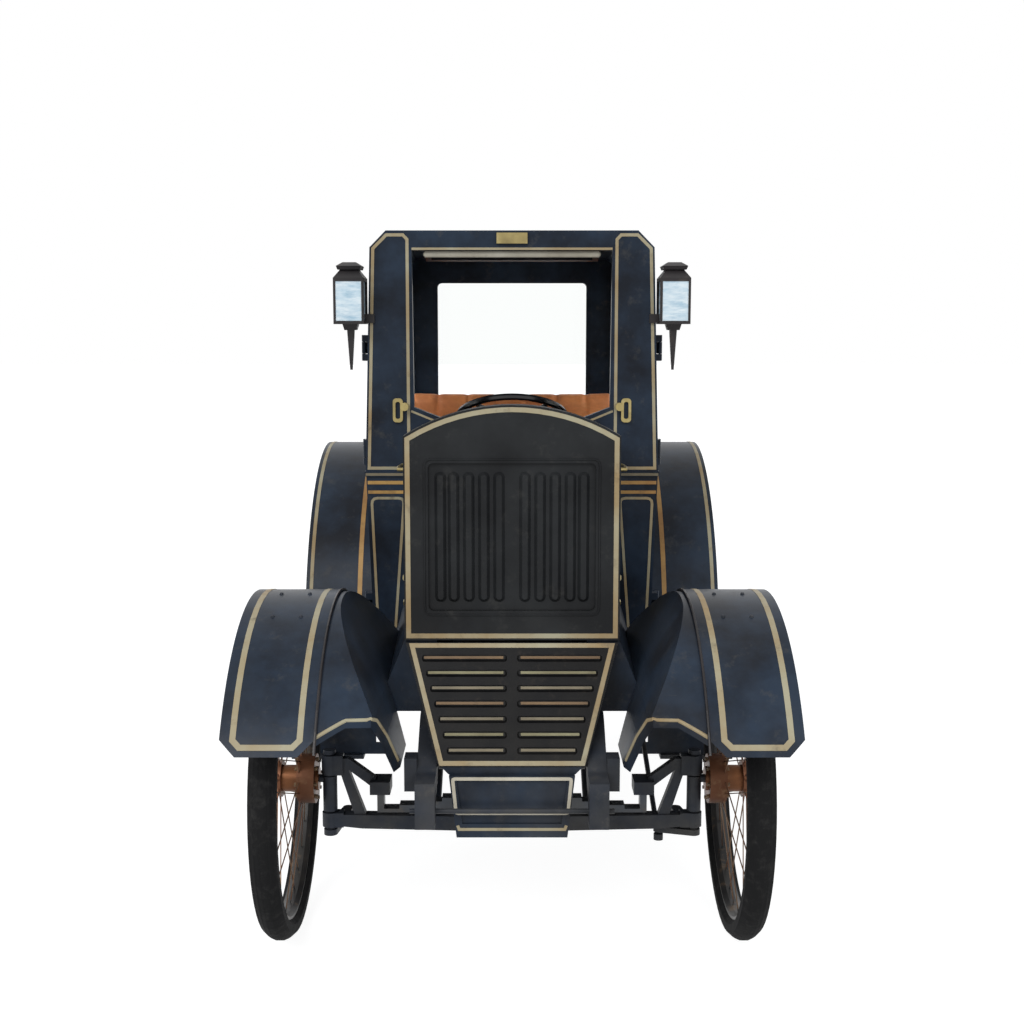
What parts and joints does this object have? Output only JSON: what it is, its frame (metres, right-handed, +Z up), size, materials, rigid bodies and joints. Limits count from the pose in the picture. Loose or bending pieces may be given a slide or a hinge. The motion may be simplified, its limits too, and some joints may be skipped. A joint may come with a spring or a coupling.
{
  "type": "vintage motor coupe",
  "caption": "Early motor coupe with wire wheels, open front axle, louvred nose, arched cowl, upright cab and side lamps.",
  "frame": {"origin": "on the ground, at the middle of the car's length and width", "axes": "+Z up, -Y forward, +X to the car's own left side"},
  "size_m": [1.554, 3.2447, 2.094],
  "materials": {
    "coachwork": "worn dark blue-black enamel with cream and gold lining",
    "cowl_metal": "charcoal enamel with cream border",
    "chassis_paint": "slate grey chassis paint",
    "axle_paint": "slate grey paint, worn",
    "copper_brown": "oiled copper-brown metal",
    "tyre": "black rubber",
    "leather": "orange-brown leather, worn",
    "dark_trim": "dark stained wood",
    "black_grip": "black hard rubber",
    "brass": "tarnished brass",
    "lamp_paint": "dark brown-grey lamp enamel",
    "glass": "clear window glass",
    "lamp_glass": "pale blue lamp glass",
    "engine": "plain cast iron",
    "spring_steel": "dark spring steel"
  },
  "bodies": {
    "root": {"chassis_frame": "chassis_paint", "front_locker": "coachwork", "nose_apron": "coachwork", "radiator_cowl": "cowl_metal", "bonnet_hinge": "brass", "scuttle": "coachwork", "valances": "coachwork", "engine_block": "engine", "front_axle": "axle_paint", "leaf_springs": "spring_steel", "rear_axle": "axle_paint", "cab_floor": "dark_trim", "cab_front": "coachwork", "cab_rear": "coachwork", "cab_roof": "coachwork", "cab_side_left": "coachwork", "cab_side_right": "coachwork", "cab_glass": "glass", "windscreen_frame": "lamp_paint", "windscreen_glass": "glass", "seat_box": "dark_trim", "seat_cushion": "leather", "seat_back": "leather", "steering_column": "chassis_paint", "front_fenders": "coachwork", "rear_fenders": "coachwork", "running_boards": "chassis_paint", "lamps": "lamp_paint", "lamp_glasses": "lamp_glass", "cab_fittings": "brass"},
    "knuckle_left": {"knuckle_left": "axle_paint"},
    "knuckle_right": {"knuckle_right": "axle_paint"},
    "front_wheel_left": {"front_wheel_left": "copper_brown", "front_tyre_left": "tyre", "front_hub_left": "copper_brown"},
    "front_wheel_right": {"front_wheel_right": "copper_brown", "front_tyre_right": "tyre", "front_hub_right": "copper_brown"},
    "rear_wheel_left": {"rear_wheel_left": "copper_brown", "rear_tyre_left": "tyre", "rear_hub_left": "copper_brown"},
    "rear_wheel_right": {"rear_wheel_right": "copper_brown", "rear_tyre_right": "tyre", "rear_hub_right": "copper_brown"},
    "tie_rod": {"tie_rod": "axle_paint"},
    "steering_wheel": {"steering_wheel": "black_grip"},
    "drop_arm": {"drop_arm": "axle_paint"},
    "drag_link": {"drag_link": "axle_paint"},
    "door_left": {"door_left": "coachwork", "door_glass_left": "glass"},
    "door_right": {"door_right": "coachwork", "door_glass_right": "glass"},
    "bonnet_left": {"bonnet_left": "coachwork"},
    "bonnet_right": {"bonnet_right": "coachwork"}
  },
  "joints": [
    {"name": "steer_left", "type": "hinge", "parent": "root", "child": "knuckle_left", "pos_m": [0.535, -1.041, 0.457], "axis": [0, 0, 1], "range_deg": [-20, 20]},
    {"name": "steer_right", "type": "hinge", "parent": "root", "child": "knuckle_right", "pos_m": [-0.535, -1.041, 0.457], "axis": [0, 0, 1], "range_deg": [-20, 20]},
    {"name": "tie_rod_pivot", "type": "hinge", "parent": "knuckle_left", "child": "tie_rod", "pos_m": [0.505, -0.851, 0.26], "axis": [0, 0, 1], "range_deg": [-21.17, 21.17]},
    {"name": "steering_wheel_turn", "type": "hinge", "parent": "root", "child": "steering_wheel", "pos_m": [0, 0.239, 1.43], "axis": [0, 0.454, 0.891], "range_deg": [-160, 160]},
    {"name": "drop_arm_swing", "type": "hinge", "parent": "root", "child": "drop_arm", "pos_m": [0.396, -0.136, 0.655], "axis": [1, 0, 0], "range_deg": [-20, 20]},
    {"name": "drag_link_pivot", "type": "hinge", "parent": "drop_arm", "child": "drag_link", "pos_m": [0.435, -0.136, 0.515], "axis": [1, 0, 0], "range_deg": [-20, 20]},
    {"name": "front_spin_left", "type": "hinge", "parent": "knuckle_left", "child": "front_wheel_left", "pos_m": [0.66, -1.041, 0.457], "axis": [1, 0, 0], "continuous": true},
    {"name": "front_spin_right", "type": "hinge", "parent": "knuckle_right", "child": "front_wheel_right", "pos_m": [-0.66, -1.041, 0.457], "axis": [1, 0, 0], "continuous": true},
    {"name": "rear_spin_left", "type": "hinge", "parent": "root", "child": "rear_wheel_left", "pos_m": [0.676, 0.919, 0.548], "axis": [1, 0, 0], "continuous": true},
    {"name": "rear_spin_right", "type": "hinge", "parent": "root", "child": "rear_wheel_right", "pos_m": [-0.676, 0.919, 0.548], "axis": [1, 0, 0], "continuous": true},
    {"name": "door_left_hinge", "type": "hinge", "parent": "root", "child": "door_left", "pos_m": [0.512, -0.129, 1.34], "axis": [0, 0, -1], "range_deg": [0, 72]},
    {"name": "door_right_hinge", "type": "hinge", "parent": "root", "child": "door_right", "pos_m": [-0.512, -0.129, 1.34], "axis": [0, 0, 1], "range_deg": [0, 72]},
    {"name": "bonnet_left_hinge", "type": "hinge", "parent": "root", "child": "bonnet_left", "pos_m": [0, -1.119, 1.539], "axis": [0, -0.9967, 0.0816], "range_deg": [0, 50]},
    {"name": "bonnet_right_hinge", "type": "hinge", "parent": "root", "child": "bonnet_right", "pos_m": [0, -1.119, 1.539], "axis": [0, 0.9967, -0.0816], "range_deg": [0, 50]}
  ],
  "couplings": [
    {"joint": "steer_right", "follows": "steer_left", "ratio": 1},
    {"joint": "tie_rod_pivot", "follows": "steer_left", "ratio": -1.0585},
    {"joint": "steering_wheel_turn", "follows": "steer_left", "ratio": 8},
    {"joint": "drop_arm_swing", "follows": "steer_left", "ratio": -0.707},
    {"joint": "drag_link_pivot", "follows": "steer_left", "ratio": 0.707}
  ]
}
